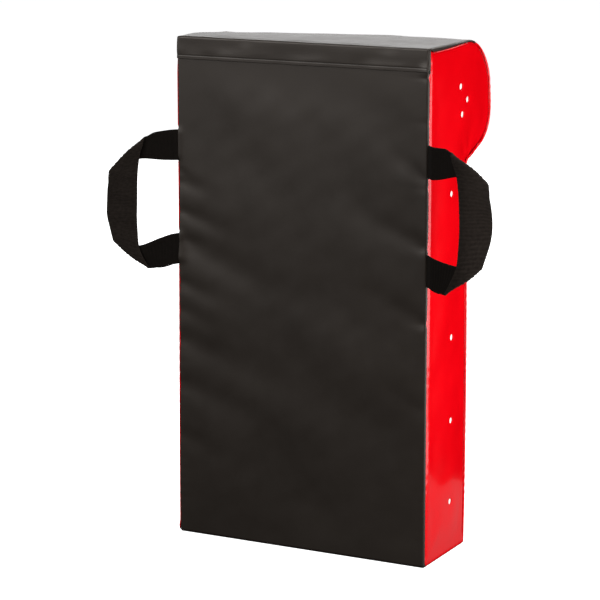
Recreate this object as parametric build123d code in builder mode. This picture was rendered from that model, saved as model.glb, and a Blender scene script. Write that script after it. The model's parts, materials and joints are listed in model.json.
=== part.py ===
"""Large strike pad with a head roll, a hook-and-loop closure flap and two webbing side handles.

Frame, in millimetres: +Z up, the pad stands on its bottom end. +Y is the strike face, -Y the
holder's side, +X the holder's right hand. The origin is the middle of the slab's footprint.
"""
from build123d import *
from math import atan, atan2, cos, degrees, radians, sin, sqrt, tan
import os

os.makedirs("parts", exist_ok=True)

# Pad
WIDTH = 350.0
DEPTH = 125.0
HEIGHT = 650.0
COVER = 1.2  # leatherette
ROLL_RADIUS = 75.0  # head roll across the top of the strike face
ROLL_SEAM_ANGLE = 18.0  # top panel to front panel, from straight up
NECK_INSET = 7.0  # the strike face is drawn in below the roll
BELLY_HEIGHT = 180.0
BELLY = 2.5  # how far the strike face swells there

# Foam layers, from the holder's side
BACKBOARD = 25.0
CORE = 52.0
ROLL_SPLIT_ANGLE = -45.0  # strike layer to head roll, from the neck

# Closure flap and its hook-and-loop tapes
FLAP_DROP = 28.5
FLAP_PLAY = 0.3  # between the flap and what it closes on
TAPE = 1.1
TAPE_WIDTH = 20.0
TAPE_INSET = 12.0  # from each side of the pad
TAPE_RISE = 3.0  # hook tape above the flap's free edge
POCKET = 2.5  # how far the back panel sits in behind the tapes
POCKET_LAP = 1.0  # the pocket's lower edge, below the flap's free edge

# Vents punched through each side panel: (y, z)
VENT_RADIUS = 4.0
ROLL_VENTS = [(29.5, 595.0), (49.5, 577.0), (34.5, 560.0)]
SLAB_VENTS = [(5.5, 464.5), (8.5, 368.0), (11.5, 282.0), (11.5, 175.0), (11.5, 69.0)]

# Handles: one strap each, folded at 45 degrees above and below the grip
STRAP = 38.0
STRAP_THICKNESS = 2.3
HANDLE_BACKSET = 21.0  # degrees the handle points towards the holder
HINGE_OUT = 1.5  # hinge line outside both faces of the rear corner
UPPER_ROOT = 513.0  # strap centre at the seam
LOWER_ROOT = 379.5
UPPER_DROOP = 8.0
LOWER_DROOP = 15.0
FOLD_REACH = 60.0  # hinge to the middle of each fold
GRIP_BOW = 10.5
TAIL_LENGTH = 20.0  # sewn in behind the side panel
BEND_LENGTH = 1.9  # free webbing between the tail and the hinge line

# Worked out from the above
half_width = WIDTH / 2
inner_half = half_width - COVER
back = -DEPTH / 2
front = DEPTH / 2
roll_y = front - NECK_INSET
roll_z = HEIGHT - ROLL_RADIUS
neck_z = roll_z - ROLL_RADIUS
pocket_floor = back + POCKET
pocket_bottom = HEIGHT - FLAP_DROP - POCKET_LAP
hook_bottom = HEIGHT - FLAP_DROP + TAPE_RISE
hinge_x = half_width + HINGE_OUT
hinge_y = back - HINGE_OUT
half_strap = STRAP / 2
layer = STRAP_THICKNESS / 2


def finish(piece, name):
    """Label a piece and write its STEP file."""
    piece.part.label = name
    export_step(piece.part, f"parts/{name}.step")


def polar(point, angle, length):
    """The point at a length and angle, in degrees, from another."""
    return (
        point[0] + length * cos(radians(angle)),
        point[1] + length * sin(radians(angle)),
    )


# ---------------------------------------------------------------- side profile (y, z)
def side_outline(inset):
    """The pad's outline seen from the side, drawn in from the outer faces by inset."""
    radius = ROLL_RADIUS - inset
    neck = (roll_y - inset, roll_z - sqrt(radius**2 - inset**2))
    toe = (front - inset, inset)
    Polyline((roll_y, HEIGHT - inset), (back + inset, HEIGHT - inset), (back + inset, inset), toe)
    ThreePointArc(toe, (front + BELLY - inset, BELLY_HEIGHT), neck)
    ThreePointArc(neck, (roll_y + radius, roll_z), (roll_y, HEIGHT - inset))


with BuildSketch(Plane.YZ) as profile:
    with BuildLine():
        side_outline(0)
    make_face()

with BuildSketch(Plane.YZ) as lining:
    with BuildLine():
        side_outline(COVER)
    make_face()

seam_reach = 2 * ROLL_RADIUS
seam_end = polar((roll_y, roll_z), 90 - ROLL_SEAM_ANGLE, seam_reach)
far_y = roll_y + seam_reach
far_z = HEIGHT + seam_reach


# ---------------------------------------------------------------- handles
def handle_outline():
    """Corner points of the strap's three runs, in the handle's own plane (reach, height)."""
    chord_top = (FOLD_REACH, UPPER_ROOT - FOLD_REACH * tan(radians(UPPER_DROOP)))
    chord_end = (FOLD_REACH, LOWER_ROOT - FOLD_REACH * tan(radians(LOWER_DROOP)))
    half_chord = (chord_top[1] - chord_end[1]) / 2
    lean = degrees(2 * atan(GRIP_BOW / half_chord))
    folds = []
    for middle, run_angle, grip_angle in (
        (chord_top, -UPPER_DROOP, -90 + lean),
        (chord_end, -LOWER_DROOP, 90 - lean),
    ):
        fold_angle = (run_angle + grip_angle) / 2
        half_fold = half_strap / abs(sin(radians(fold_angle - run_angle)))
        folds.append((polar(middle, fold_angle, half_fold), polar(middle, fold_angle, -half_fold)))
    middle_height = (chord_top[1] + chord_end[1]) / 2
    return folds, (FOLD_REACH + GRIP_BOW, middle_height)


def root_heights(centre, droop):
    """Top and bottom of a strap end where it leaves the seam."""
    half = half_strap / cos(radians(droop))
    return centre + half, centre - half


(upper_fold, lower_fold), grip_middle = handle_outline()
upper_top, upper_bottom = root_heights(UPPER_ROOT, UPPER_DROOP)
lower_top, lower_bottom = root_heights(LOWER_ROOT, LOWER_DROOP)
backset = radians(HANDLE_BACKSET)
handle_plane = Plane(
    origin=(hinge_x, hinge_y, 0),
    x_dir=(cos(backset), -sin(backset), 0),
    z_dir=(-sin(backset), -cos(backset), 0),
)

with BuildPart() as handle_right:
    with BuildSketch(handle_plane.offset(-layer)):
        with BuildLine():
            Polyline((0, upper_top), upper_fold[1], upper_fold[0], (0, upper_bottom), close=True)
        make_face()
        with BuildLine():
            Polyline((0, lower_top), lower_fold[0], lower_fold[1], (0, lower_bottom), close=True)
        make_face()
    extrude(amount=STRAP_THICKNESS)
    with BuildSketch(handle_plane.offset(layer)):
        with BuildLine():
            ThreePointArc(upper_fold[0], (grip_middle[0] + half_strap, grip_middle[1]), lower_fold[0])
            Line(lower_fold[0], lower_fold[1])
            ThreePointArc(lower_fold[1], (grip_middle[0] - half_strap, grip_middle[1]), upper_fold[1])
            Line(upper_fold[1], upper_fold[0])
        make_face()
    extrude(amount=STRAP_THICKNESS)
    for top, bottom in ((upper_top, upper_bottom), (lower_top, lower_bottom)):
        with BuildSketch(Plane.XY.offset(bottom)):
            with Locations((hinge_x, hinge_y)):
                Circle(layer)
        extrude(amount=top - bottom)
finish(handle_right, "handle_right")

with BuildPart() as handle_left:
    mirror(handle_right.part, about=Plane.YZ)
finish(handle_left, "handle_left")

# The sewn-in tails: flat behind the side panel, then out through the corner to the hinge line.
tail_x = inner_half - layer
tail_corner = (tail_x, back + COVER + layer)
run_out = (hinge_x - tail_corner[0], hinge_y - tail_corner[1])
run_length = sqrt(run_out[0] ** 2 + run_out[1] ** 2)
run_angle = degrees(atan2(run_out[1], run_out[0]))
tails = {}
for level, top, bottom in (("upper", upper_top, upper_bottom), ("lower", lower_top, lower_bottom)):
    with BuildPart() as tail_right:
        with BuildSketch(Plane.XY.offset(bottom)):
            with BuildLine():
                Polyline(
                    (tail_x, back + COVER + TAIL_LENGTH),
                    tail_corner,
                    polar(tail_corner, run_angle, run_length - STRAP_THICKNESS - BEND_LENGTH),
                )
                offset(amount=layer, side=Side.BOTH, kind=Kind.INTERSECTION)
            make_face()
        extrude(amount=top - bottom)
    finish(tail_right, f"handle_tail_right_{level}")
    with BuildPart() as tail_left:
        mirror(tail_right.part, about=Plane.YZ)
    finish(tail_left, f"handle_tail_left_{level}")
    tails["right", level] = tail_right.part
    tails["left", level] = tail_left.part

# ---------------------------------------------------------------- foam
core_back = back + COVER + BACKBOARD
core_front = core_back + CORE

with BuildPart() as foam_backboard:
    with BuildSketch(Plane.YZ):
        with BuildLine():
            Polyline(
                (back + COVER, COVER),
                (back + COVER, pocket_bottom - COVER),
                (pocket_floor + COVER, pocket_bottom - COVER),
                (pocket_floor + COVER, HEIGHT - COVER),
                (core_back, HEIGHT - COVER),
                (core_back, COVER),
                close=True,
            )
        make_face()
    extrude(amount=inner_half, both=True)
    for tail in tails.values():
        add(tail, mode=Mode.SUBTRACT)
finish(foam_backboard, "foam_backboard")

with BuildPart() as foam_core:
    with BuildSketch(Plane.YZ):
        with BuildLine():
            Polyline(
                (core_back, COVER),
                (core_back, HEIGHT - COVER),
                (core_front, HEIGHT - COVER),
                (core_front, COVER),
                close=True,
            )
        make_face()
    extrude(amount=inner_half, both=True)
finish(foam_core, "foam_core")

# The strike layer and the head roll divide what lies in front of the core.
roll_back = roll_y - COVER
roll_underside = roll_z - sqrt((ROLL_RADIUS - COVER) ** 2 - COVER**2)
split_end = polar((roll_back, roll_underside), ROLL_SPLIT_ANGLE, seam_reach)
with BuildPart() as foam_strike_layer:
    with BuildSketch(Plane.YZ):
        add(lining.sketch_local)
        with BuildLine():
            Polyline(
                (core_front, 0),
                (core_front, HEIGHT),
                (roll_back, HEIGHT),
                (roll_back, roll_underside),
                split_end,
                (split_end[0], 0),
                close=True,
            )
        make_face(mode=Mode.INTERSECT)
    extrude(amount=inner_half, both=True)
finish(foam_strike_layer, "foam_strike_layer")

with BuildPart() as foam_head_roll:
    with BuildSketch(Plane.YZ):
        add(lining.sketch_local)
        with BuildLine():
            Polyline(
                (roll_back, roll_underside),
                (roll_back, far_z),
                (split_end[0], far_z),
                split_end,
                close=True,
            )
        make_face(mode=Mode.INTERSECT)
    extrude(amount=inner_half, both=True)
finish(foam_head_roll, "foam_head_roll")

# ---------------------------------------------------------------- cover panels
with BuildPart() as bottom_panel:
    with BuildSketch(Plane.YZ):
        add(profile.sketch_local)
        with Locations((0, 0)):
            Rectangle(4 * DEPTH, 2 * COVER, mode=Mode.INTERSECT)
    extrude(amount=half_width, both=True)
finish(bottom_panel, "bottom_panel")

with BuildPart() as back_panel:
    with BuildSketch(Plane.YZ):
        with BuildLine():
            Polyline(
                (back, COVER),
                (back, pocket_bottom),
                (pocket_floor, pocket_bottom),
                (pocket_floor, HEIGHT - COVER),
                (pocket_floor + COVER, HEIGHT - COVER),
                (pocket_floor + COVER, pocket_bottom - COVER),
                (back + COVER, pocket_bottom - COVER),
                (back + COVER, COVER),
                close=True,
            )
        make_face()
    extrude(amount=inner_half, both=True)
    for tail in tails.values():
        add(tail, mode=Mode.SUBTRACT)
finish(back_panel, "back_panel")

with BuildPart() as front_panel:
    with BuildSketch(Plane.YZ):
        add(profile.sketch_local)
        add(lining.sketch_local, mode=Mode.SUBTRACT)
        with BuildLine():
            Polyline(
                (roll_y, roll_z),
                seam_end,
                (far_y, seam_end[1]),
                (far_y, COVER),
                (core_front, COVER),
                (core_front, neck_z),
                close=True,
            )
        make_face(mode=Mode.INTERSECT)
    extrude(amount=inner_half, both=True)
finish(front_panel, "front_panel")

with BuildPart() as top_panel:
    with BuildSketch(Plane.YZ):
        add(profile.sketch_local)
        add(lining.sketch_local, mode=Mode.SUBTRACT)
        with BuildLine():
            Polyline(
                (back + FLAP_PLAY, HEIGHT - COVER),
                (roll_y, HEIGHT - COVER),
                (roll_y, roll_z),
                seam_end,
                (back + FLAP_PLAY, far_z),
                close=True,
            )
        make_face(mode=Mode.INTERSECT)
    extrude(amount=inner_half, both=True)
finish(top_panel, "top_panel")

for side, plane in (
    ("left", Plane.YZ.offset(-half_width)),
    ("right", Plane.YZ.offset(inner_half)),
):
    with BuildPart() as side_panel:
        with BuildSketch(plane):
            add(profile.sketch_local)
            with Locations((0, HEIGHT / 2 + COVER)):
                Rectangle(4 * DEPTH, HEIGHT, mode=Mode.INTERSECT)
            with Locations(*ROLL_VENTS, *SLAB_VENTS):
                Circle(VENT_RADIUS, mode=Mode.SUBTRACT)
        extrude(amount=COVER)
        for level in ("upper", "lower"):
            add(tails[side, level], mode=Mode.SUBTRACT)
    finish(side_panel, f"side_panel_{side}")

# ---------------------------------------------------------------- closure
with BuildPart() as closure_flap:
    with BuildSketch(Plane.YZ):
        with BuildLine():
            Polyline(
                (back, HEIGHT - FLAP_DROP),
                (back, HEIGHT - FLAP_PLAY),
                (back - COVER, HEIGHT - FLAP_PLAY),
                (back - COVER, HEIGHT - FLAP_DROP),
                close=True,
            )
        make_face()
    extrude(amount=half_width, both=True)
    fillet(closure_flap.edges().filter_by(Axis.X).group_by(Axis.Z)[-1].sort_by(Axis.Y)[0], COVER / 2)
finish(closure_flap, "closure_flap")

for name, floor_y in (("hook_tape", back), ("loop_tape", pocket_floor - TAPE)):
    with BuildPart() as tape:
        with BuildSketch(Plane.XY.offset(hook_bottom)):
            with Locations((0, floor_y + TAPE / 2)):
                Rectangle(WIDTH - 2 * TAPE_INSET, TAPE)
        extrude(amount=TAPE_WIDTH)
    finish(tape, name)
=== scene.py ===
"""The looks of the strike pad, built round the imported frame. Metres, +Z up, strike face +Y."""
import json
import math

import bpy
import numpy as np
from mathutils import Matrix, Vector
from mathutils.geometry import delaunay_2d_cdt


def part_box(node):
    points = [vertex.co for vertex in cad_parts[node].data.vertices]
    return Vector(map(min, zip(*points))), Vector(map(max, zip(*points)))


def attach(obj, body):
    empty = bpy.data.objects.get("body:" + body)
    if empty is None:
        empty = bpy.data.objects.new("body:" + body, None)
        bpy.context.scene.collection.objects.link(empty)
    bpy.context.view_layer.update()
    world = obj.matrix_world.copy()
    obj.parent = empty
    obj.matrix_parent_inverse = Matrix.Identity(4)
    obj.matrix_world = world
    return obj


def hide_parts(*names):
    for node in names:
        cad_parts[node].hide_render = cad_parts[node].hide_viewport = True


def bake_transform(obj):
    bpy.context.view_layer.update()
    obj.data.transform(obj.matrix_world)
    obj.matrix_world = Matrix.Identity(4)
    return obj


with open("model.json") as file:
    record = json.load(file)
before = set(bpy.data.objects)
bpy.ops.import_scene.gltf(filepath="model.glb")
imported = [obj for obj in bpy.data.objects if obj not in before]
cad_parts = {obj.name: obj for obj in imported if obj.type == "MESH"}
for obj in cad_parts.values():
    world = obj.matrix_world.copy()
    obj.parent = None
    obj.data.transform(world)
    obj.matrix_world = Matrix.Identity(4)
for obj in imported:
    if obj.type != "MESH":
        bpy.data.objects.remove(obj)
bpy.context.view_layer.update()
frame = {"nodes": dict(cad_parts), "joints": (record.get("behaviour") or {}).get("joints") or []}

MM = 0.001

# ---------- sizes, from the frame
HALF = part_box("side_panel_right")[1].x
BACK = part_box("back_panel")[0].y
FRONT = -BACK
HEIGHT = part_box("top_panel")[1].z
PANEL = 2 * HALF
SKIN = 1.1 * MM
FLAP_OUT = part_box("closure_flap")[0].y
FLAP_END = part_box("closure_flap")[0].z
ROLL_RADIUS = 75 * MM
ROLL_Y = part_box("front_panel")[1].y - ROLL_RADIUS
ROLL_Z = HEIGHT - ROLL_RADIUS
NECK_Z = ROLL_Z - ROLL_RADIUS
ROLL_SEAM = math.radians(72)  # from the roll's centre, above +Y
BELLY = 2.5 * MM  # how far the strike face swells
BELLY_Z = 180 * MM
POCKET = 2.3 * MM  # how far the back panel steps in behind the flap
POCKET_Z = 623 * MM
TOP_EDGE = 2.6 * MM  # radius of the fold from the flap to the top

EDGE = 3.4 * MM  # radius of the edge that the back and bottom panels turn over
CORNER = 4.2 * MM  # radius of the pad's lower corners in side view
WRAP_BACK = 4.0 * MM  # how far each panel turns onto the side
WRAP_BACK_LEFT = 0.8 * MM  # the back panel stops short of its left edge, where the red turns round
WRAP_BOTTOM = 1.2 * MM
WRAP_TOP = 5.5 * MM
WRAP_ROLL = 2.2 * MM
WRAP_FRONT = 4.5 * MM
WRAP_FLAP = 1.0 * MM
STRAP = 38 * MM
UPPER_ROOT = 513 * MM  # the heights at which the handles' ends leave the side seams
LOWER_ROOT = 379.5 * MM
VENT_RADIUS = 4 * MM
VENT_PLACES = (
    (29.5, 595), (49.5, 577), (34.5, 560),
    (5.5, 464.5), (8.5, 368), (11.5, 282), (11.5, 175), (11.5, 69),
)
VENTS = [Vector((y * MM, z * MM)) for y, z in VENT_PLACES]

FOOT_SPREAD = 2.4 * MM  # the foot's left edge stands out by this much
ROLL_SETTLED = 5.0 * MM  # the roll's left end stands this much lower
SEAM_TURN = 1.9 * MM  # how near a seam a cover starts to turn down into it
SEAM_DEPTH = 1.7 * MM
BOTTOM_SEAM_DEPTH = 1.5 * MM
TOPSTITCH_IN = 4.5 * MM  # the flap's topstitching, above its lower edge


# ---------- small tools
def smooth(x, low, high):
    """0 below low, 1 above high, eased between."""
    t = np.clip((np.asarray(x, float) - low) / (high - low), 0, 1)
    return t * t * (3 - 2 * t)


def bump_at(x, centre, width):
    """A bell of height 1."""
    return np.exp(-(((np.asarray(x, float) - centre) / width) ** 2))


def waves(a, b, wavelength, seed, count=9, variety=0.45, angle=None):
    """Smooth irregular relief of about unit height over the coordinates a and b."""
    rng = np.random.default_rng(seed)
    total = np.zeros(np.broadcast(a, b).shape)
    for _ in range(count):
        way = rng.uniform(0, math.pi) if angle is None else angle + rng.normal(0, 0.22)
        length = wavelength * math.exp(rng.normal(0, variety))
        phase = rng.uniform(0, 2 * math.pi)
        total += np.sin(2 * math.pi * (a * math.cos(way) + b * math.sin(way)) / length + phase)
    return total / math.sqrt(count)


def arc(centre, radius, start, end, count):
    """Points on an arc; angles in degrees from +Y towards +Z."""
    angles = np.radians(np.linspace(start, end, count))
    return np.stack([centre[0] + radius * np.cos(angles), centre[1] + radius * np.sin(angles)], 1)


def chain(*pieces):
    """Joins runs of points into one path, without repeats."""
    points = np.concatenate([np.atleast_2d(np.asarray(p, float)) for p in pieces])
    keep = np.r_[True, np.linalg.norm(np.diff(points, axis=0), axis=1) > 0.02 * MM]
    return points[keep]


FINE_STEP = 0.25 * MM


def lengths(points):
    """Distance along a path at each of its points."""
    return np.r_[0, np.cumsum(np.linalg.norm(np.diff(points, axis=0), axis=1))]


def along_line(line, s, at):
    """Points on a line at distances along it, where s is the distance at each of its own points."""
    return np.stack([np.interp(at, s, line[:, k]) for k in (0, 1)], 1)


def unit(vectors):
    """Vectors made one long."""
    return vectors / np.linalg.norm(vectors, axis=-1)[..., None]


def resample(points, at):
    """Points and outward normals at distances along a clockwise path."""
    s = lengths(points)
    fine = np.linspace(0, s[-1], max(int(s[-1] / FINE_STEP), 50))
    dense = along_line(points, s, fine)
    way = unit(along_line(unit(np.gradient(dense, axis=0)), fine, at))
    return along_line(dense, fine, at), np.stack([-way[:, 1], way[:, 0]], 1)


SEAM_RAMP = np.array([0, 0.1, 0.3, 0.6, 1, 1.5, 2.1, 2.8, 3.7, 4.8, 6.2, 8, 10, 12.5]) * MM
CLOSEST_ROWS = 0.09 * MM


def graded(length, step, fine_start, fine_end, extra=()):
    """Distances from 0 to length, close together at the ends asked for and round the extra places."""
    parts = [np.linspace(0, length, max(int(round(length / step)), 2) + 1)]
    if fine_start:
        parts.append(SEAM_RAMP)
    if fine_end:
        parts.append(length - SEAM_RAMP)
    for low, high, spacing in extra:
        parts.append(np.arange(low, high, spacing))
    found = np.unique(np.concatenate(parts))
    found = found[(found >= 0) & (found <= length)]
    keep = [0.0]
    for x in found[1:]:
        if x - keep[-1] > CLOSEST_ROWS:
            keep.append(x)
    keep[-1] = length
    return np.array(keep)


def dive(d, width, depth):
    """Height of a cover at a distance d from a seam: it turns down into the seam."""
    t = np.clip(1 - d / width, 0, 1)
    return -depth * (1 - np.sqrt(np.clip(1 - t * t, 0, 1)))


def settled(vertices):
    """The head roll has settled a little towards its left end, and the foot has spread to the left."""
    v = np.array(vertices, float)
    v[:, 0] -= FOOT_SPREAD * smooth(-v[:, 0], 0, HALF) * smooth(v[:, 2], 480 * MM, 0)
    on_roll = smooth(v[:, 1], -25 * MM, 62 * MM) * smooth(v[:, 2], 500 * MM, 600 * MM)
    v[:, 2] -= ROLL_SETTLED * smooth(-v[:, 0], -90 * MM, HALF) * on_roll
    return v


def new_mesh(name, vertices, faces, uv=None):
    """An object from arrays, smooth shaded, with an optional UV for each vertex."""
    mesh = bpy.data.meshes.new(name)
    mesh.from_pydata([tuple(v) for v in vertices], [], [tuple(f) for f in faces])
    mesh.shade_smooth()
    if uv is not None:
        layer = mesh.uv_layers.new(name="UVMap")
        index = np.zeros(len(mesh.loops), np.int32)
        mesh.loops.foreach_get("vertex_index", index)
        layer.data.foreach_set("uv", np.asarray(uv, np.float32)[index].ravel())
    obj = bpy.data.objects.new(name, mesh)
    bpy.context.scene.collection.objects.link(obj)
    return obj


def vertex_places(mesh):
    """The places of a mesh's vertices, as an array."""
    co = np.zeros(len(mesh.vertices) * 3, np.float32)
    mesh.vertices.foreach_get("co", co)
    return co.reshape(-1, 3)


def bake(obj):
    """Applies an object's modifiers."""
    graph = bpy.context.evaluated_depsgraph_get()
    done = bpy.data.meshes.new_from_object(obj.evaluated_get(graph))
    old = obj.data
    obj.modifiers.clear()
    obj.data = done
    done.name = obj.name
    bpy.data.meshes.remove(old)
    return obj


def thicken(obj):
    """Gives a cover its thickness, inwards."""
    solid = obj.modifiers.new("thickness", "SOLIDIFY")
    solid.thickness = SKIN
    solid.offset = -1
    return bake(obj)


def grid_faces(rows, columns):
    """Quads of a grid of rows by columns, facing out for a clockwise path."""
    i, j = np.meshgrid(np.arange(rows - 1), np.arange(columns - 1), indexing="ij")
    a = (i * columns + j).ravel()
    return np.stack([a, a + 1, a + columns + 1, a + columns], 1)


def ring_faces(first, rings, sides):
    """Quads between rings of points that are numbered one ring after another."""
    turn = [(i, (i + 1) % sides) for i in range(sides)]
    starts = range(first, first + (rings - 1) * sides, sides)
    return [(a + i, a + sides + i, a + sides + j, a + j) for a in starts for i, j in turn]


# ---------- cloth
DRAPE_STEP = 6 * MM
DRAPE_FRAMES = 22
PIN_WEIGHT = 0.25  # how much the sewn places count in the cloth's broad swell
PIN_MARGIN = 5 * MM  # how far in from its edge a panel is held


def spread(heights, fixed, radius=7, times=3):
    """The broad swell under the folds: the heights averaged over their surroundings."""
    weight = np.where(fixed, PIN_WEIGHT, 1.0)
    total, share = heights * weight, weight
    window = range(-radius, radius + 1)
    for _ in range(times):
        for axis in (0, 1):
            total = sum(np.roll(total, k, axis) for k in window) / len(window)
            share = sum(np.roll(share, k, axis) for k in window) / len(window)
    return total / share


def spline(t):
    """The weights of four neighbours in a smooth curve through a grid."""
    return (
        (1 - t) ** 3 / 6,
        (3 * t**3 - 6 * t**2 + 4) / 6,
        (-3 * t**3 + 3 * t**2 + 3 * t + 1) / 6,
        t**3 / 6,
    )


def drape(name, width, length, pinned, slack, lean, push, seed):
    """Simulates a panel of cloth sewn down where pinned(a, b) is true and cut larger than its place.

    slack is the share by which it is too large, lean how far the cut is sheared, and push the
    foam's pressure. Returns a function of (a, b) that gives the folds' height there, about -1 to 1.
    """
    na, nb = int(width / DRAPE_STEP) + 1, int(length / DRAPE_STEP) + 1
    a, b = np.meshgrid(np.linspace(0, width, na), np.linspace(0, length, nb), indexing="ij")
    rng = np.random.default_rng(seed)
    start = 0.4 * MM * waves(a, b, 0.07, seed, 9, 0.4) + 0.05 * MM * rng.normal(size=a.shape)
    fixed = pinned(a, b)
    start = np.where(fixed, 0, start)
    flat = np.stack([a, b, start], 2).reshape(-1, 3)
    obj = new_mesh(name, flat, grid_faces(na, nb)[:, ::-1])
    obj.shape_key_add(name="sewn")
    cut = obj.shape_key_add(name="cut")
    centre = np.array([width / 2, length / 2, 0])
    larger = (flat - centre) * [1 + slack, 1 + slack, 1] + centre
    larger[:, 0] += lean * (flat[:, 1] - centre[1])
    cut.data.foreach_set("co", larger.astype(np.float32).ravel())
    pins = obj.vertex_groups.new(name="sewn_down")
    pins.add([int(i) for i in np.flatnonzero(fixed.ravel())], 1.0, "REPLACE")
    cloth = obj.modifiers.new("cloth", "CLOTH").settings
    cloth.quality = 6
    cloth.mass = 0.2
    cloth.tension_stiffness = cloth.compression_stiffness = 25
    cloth.shear_stiffness = 12
    cloth.bending_stiffness = 120
    cloth.tension_damping = cloth.compression_damping = cloth.shear_damping = 12
    cloth.bending_damping = 2
    cloth.air_damping = 4
    cloth.vertex_group_mass = pins.name
    cloth.rest_shape_key = cut
    cloth.effector_weights.gravity = 0
    cloth.use_pressure = True
    cloth.uniform_pressure_force = push
    for frame_number in range(1, DRAPE_FRAMES + 1):
        bpy.context.scene.frame_set(frame_number)
    graph = bpy.context.evaluated_depsgraph_get()
    risen = vertex_places(obj.evaluated_get(graph).data)[:, 2].reshape(na, nb).astype(float)
    bpy.data.objects.remove(obj)
    bpy.context.scene.frame_set(1)
    field = spread(risen, fixed, 1, 1) - spread(risen, fixed)
    field = np.clip(field / (2.2 * field[~fixed].std()), -1, 1)

    def height(x, y):
        i = np.clip(np.asarray(x, float) / width, 0, 1) * (na - 1)
        j = np.clip(np.asarray(y, float) / length, 0, 1) * (nb - 1)
        i0, j0 = np.minimum(i.astype(int), na - 2), np.minimum(j.astype(int), nb - 2)
        u, v = i - i0, j - j0
        total = 0.0
        for p, weight_p in enumerate(spline(u)):
            row = np.clip(i0 + p - 1, 0, na - 1)
            for q, weight_q in enumerate(spline(v)):
                total = total + weight_p * weight_q * field[row, np.clip(j0 + q - 1, 0, nb - 1)]
        return total

    return height


def draped_panel(name, length, slack, lean, push, seed):
    """The folds of a rectangular panel as wide as the pad, sewn round all four edges."""

    def pinned(a, b):
        return (np.minimum(a, PANEL - a) < PIN_MARGIN) | (np.minimum(b, length - b) < PIN_MARGIN)

    return drape(name, PANEL, length, pinned, slack, lean, push, seed)


# ---------- the pad's outline, (y, z)
def roll_point(angle):
    """The head roll's outline at angles from its centre: round, sagging a little at its foot."""
    degrees = np.degrees(angle)
    radius = (
        ROLL_RADIUS
        + 4.2 * MM * bump_at(degrees, -30, 20)
        - 2.6 * MM * bump_at(degrees, -66, 13)
        - 1.6 * MM * bump_at(degrees, 4, 12)
    )
    return np.stack([ROLL_Y + radius * np.cos(angle), ROLL_Z + radius * np.sin(angle)], -1)


def front_face():
    """The strike face from the neck down to the toe, as a shallow arc."""
    z = np.linspace(NECK_Z - 9 * MM, CORNER, 60)
    rise = (z - BELLY_Z) / (NECK_Z - BELLY_Z)
    drawn = np.where(rise > 0, rise, 0) ** 2
    low = np.where(z < BELLY_Z, ((z - BELLY_Z) / BELLY_Z) ** 2, 0)
    y = FRONT + BELLY - (BELLY + 7 * MM) * drawn - BELLY * low
    return np.stack([y, z], 1)


roll_front = roll_point(np.linspace(ROLL_SEAM, math.radians(-80), 70))
roll_top = roll_point(np.linspace(math.radians(90), ROLL_SEAM, 20))
face = front_face()
neck_start, neck_end = roll_front[-1], face[0]
neck_point = np.array([ROLL_Y - 1.0 * MM, NECK_Z - 1.0 * MM])
turn = np.linspace(0, 1, 14)[:, None]
neck = (1 - turn) ** 2 * neck_start + 2 * turn * (1 - turn) * neck_point + turn**2 * neck_end
toe = arc((FRONT - CORNER, CORNER), CORNER, 0, -90, 10)
front_path = chain(roll_front, neck[1:], face[1:], toe)
bottom_path = chain((FRONT - CORNER, 0), (BACK + CORNER, 0))
heel = arc((BACK + CORNER, CORNER), CORNER, -90, -180, 10)
back_path = chain(
    heel,
    (BACK, POCKET_Z - 0.6 * MM),
    (BACK + 0.4 * MM, POCKET_Z),
    (BACK + POCKET - 0.4 * MM, POCKET_Z + 0.4 * MM),
    (BACK + POCKET, POCKET_Z + 1.0 * MM),
    (BACK + POCKET, HEIGHT - 1.5 * MM),
)
top_path = chain(
    (FLAP_OUT, FLAP_END),
    (FLAP_OUT, HEIGHT - TOP_EDGE),
    arc((FLAP_OUT + TOP_EDGE, HEIGHT - TOP_EDGE), TOP_EDGE, 180, 90, 12),
    (ROLL_Y, HEIGHT),
    roll_top[1:],
)
flap_length = HEIGHT - TOP_EDGE - FLAP_END
fold_length = flap_length + TOP_EDGE * math.pi / 2
heel_length = lengths(heel)[-1]
back_length, top_length, front_length, bottom_length = (
    lengths(path)[-1] for path in (back_path, top_path, front_path, bottom_path)
)
neck_length = lengths(roll_front)[-1] + 6 * MM


# How far each cover turns onto the side, at distances s along its path.
def wrap_top(s):
    """Least on the flap, most just past the fold, and less again by the roll."""
    widest = WRAP_TOP + (WRAP_ROLL - WRAP_TOP) * smooth(s, fold_length + 30 * MM, top_length)
    return WRAP_FLAP + (widest - WRAP_FLAP) * smooth(s, fold_length + 1 * MM, fold_length + 16 * MM)


def wrap_front(s):
    """From the top cover's turn at the roll to its own full turn."""
    return WRAP_ROLL + (WRAP_FRONT - WRAP_ROLL) * smooth(s, 0, 50 * MM)


def even(reach):
    """The same all the way along."""
    return lambda s: np.full(np.shape(s), reach)


# ---------- belts: back, top, front, bottom
BELT_STEP = 5 * MM
# Where the columns of a turned edge lie, as shares of the way from the flat part to the seam.
TURN_SHARES = np.r_[np.linspace(0, 0.62, 8)[1:], 0.7, 0.8, 0.87, 0.925, 0.965, 0.988, 1.0]


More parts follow.
